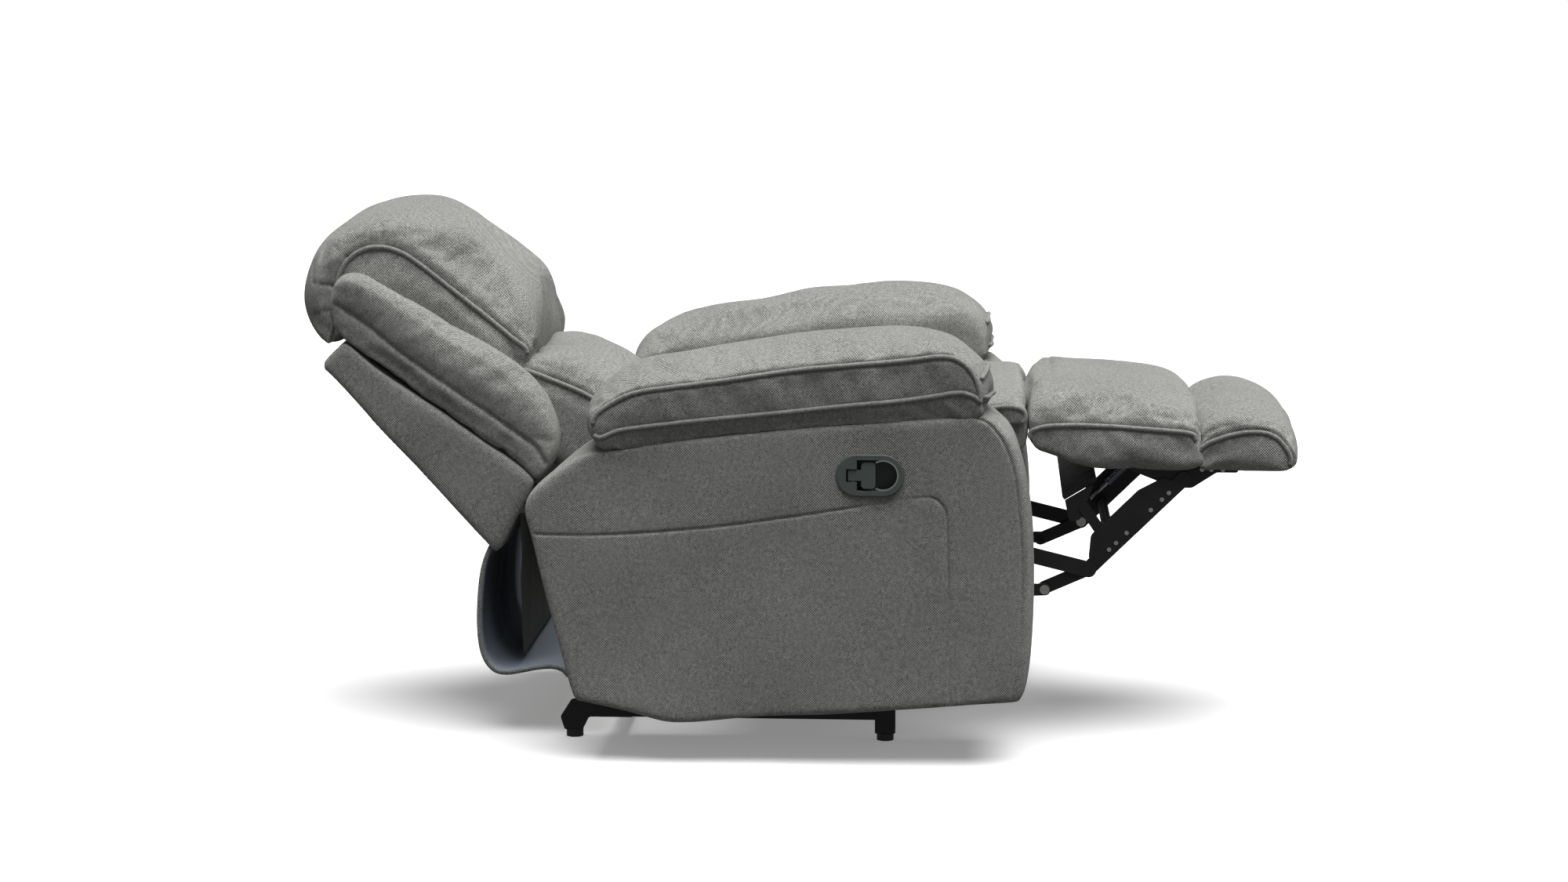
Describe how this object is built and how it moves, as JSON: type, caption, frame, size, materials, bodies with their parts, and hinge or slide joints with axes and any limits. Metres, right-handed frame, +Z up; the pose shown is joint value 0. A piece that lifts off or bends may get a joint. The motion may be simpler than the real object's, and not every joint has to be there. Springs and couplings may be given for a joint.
{
  "type": "recliner armchair",
  "caption": "Fabric recliner armchair with a winged leaning back, padded arms, a folding chaise footrest on steel links and a flush release handle in the right arm.",
  "frame": {"origin": "on the floor, under the middle of the bounding box, fully reclined", "axes": "+Z up, the sitter faces -Y, the sitter's right hand is towards -X"},
  "size_m": [0.95, 1.6814, 0.8732],
  "materials": {
    "upholstery": "heathered basket weave",
    "lining": "non-woven",
    "webbing": "woven strap",
    "timber": "plywood",
    "black_steel": "satin black",
    "zinc": "zinc plated",
    "spring_steel": "oiled",
    "handle_plastic": "dark grey green",
    "bright_trim": "polished",
    "foot_plastic": "satin",
    "cable_sheath": "satin"
  },
  "bodies": {
    "base": {"arm_cover_left": "upholstery", "arm_cover_right": "upholstery", "arm_frame_left": "timber", "arm_frame_right": "timber", "arm_pad_left": "upholstery", "arm_pad_right": "upholstery", "back_hinge_arms": "black_steel", "base_pivot_pins": "zinc", "base_rails": "black_steel", "cable_ferrule": "zinc", "control_pins": "zinc", "cross_rails": "black_steel", "flap_batten": "timber", "foot_pads": "foot_plastic", "front_leg_brackets": "black_steel", "handle_bezel": "handle_plastic", "handle_pin": "zinc", "handle_ring": "bright_trim", "mechanism_plates": "black_steel", "rear_flap": "lining", "rear_leg_brackets": "black_steel", "release_cable": "cable_sheath", "seat_cushion": "upholstery", "seat_front_rail": "timber", "seat_mount_angles": "black_steel", "seat_rear_rail": "timber", "seat_side_rails": "timber", "seat_webbing": "webbing"},
    "back": {"back_shell": "upholstery", "back_side_boards": "timber", "back_top_rail": "timber", "back_bottom_rail": "timber", "back_webbing": "webbing", "back_hinge_plates": "black_steel", "back_pivot_bolts": "zinc", "wing_right": "upholstery", "wing_left": "upholstery", "head_pillow": "upholstery", "lumbar_cushion": "upholstery"},
    "handle": {"handle_paddle": "handle_plastic"},
    "lower_link": {"lower_links": "black_steel", "elbow_pins": "zinc", "drive_tube": "black_steel"},
    "upper_link": {"upper_links": "black_steel", "foot_pins": "zinc", "cross_tube": "black_steel", "board_arms": "black_steel", "gap_board": "black_steel", "board_tabs": "black_steel", "link_springs": "spring_steel", "spring_rods": "zinc", "spring_hooks": "black_steel", "plate_rivets": "zinc"},
    "control_link": {"control_links": "black_steel", "control_tip_rivets": "zinc"},
    "footrest": {"footrest_brackets": "black_steel", "bracket_screws": "zinc", "footrest_board": "timber", "footrest_pad": "upholstery", "end_roll": "upholstery"}
  },
  "joints": [
    {"name": "back_recline", "type": "hinge", "parent": "base", "child": "back", "pos_m": [0, 0.399, 0.382], "axis": [1, 0, 0], "range_deg": [0, 32], "deforming": ["rear_flap"]},
    {"name": "handle_pull", "type": "hinge", "parent": "base", "child": "handle", "pos_m": [-0.457, -0.111, 0.472], "axis": [0, 0, -1], "range_deg": [0, 30], "stiffness_Nm_per_rad": 0.15, "springref_deg": -20.05},
    {"name": "footrest_fold", "type": "hinge", "parent": "base", "child": "lower_link", "pos_m": [0, -0.224, 0.35], "axis": [1, 0, 0], "range_deg": [0, 99]},
    {"name": "upper_link_turn", "type": "hinge", "parent": "lower_link", "child": "upper_link", "pos_m": [0, -0.492, 0.284], "axis": [1, 0, 0], "range_deg": [-103.1, 0]},
    {"name": "footrest_turn", "type": "hinge", "parent": "upper_link", "child": "footrest", "pos_m": [0, -0.646, 0.436], "axis": [1, 0, 0], "range_deg": [0, 94.1]},
    {"name": "control_link_turn", "type": "hinge", "parent": "base", "child": "control_link", "pos_m": [0, -0.188, 0.244], "axis": [1, 0, 0], "range_deg": [0, 129.5]}
  ],
  "couplings": [
    {"joint": "upper_link_turn", "follows": "footrest_fold", "ratio": -1.0404},
    {"joint": "footrest_turn", "follows": "footrest_fold", "ratio": 0.9495},
    {"joint": "control_link_turn", "follows": "footrest_fold", "ratio": 1.3061}
  ]
}
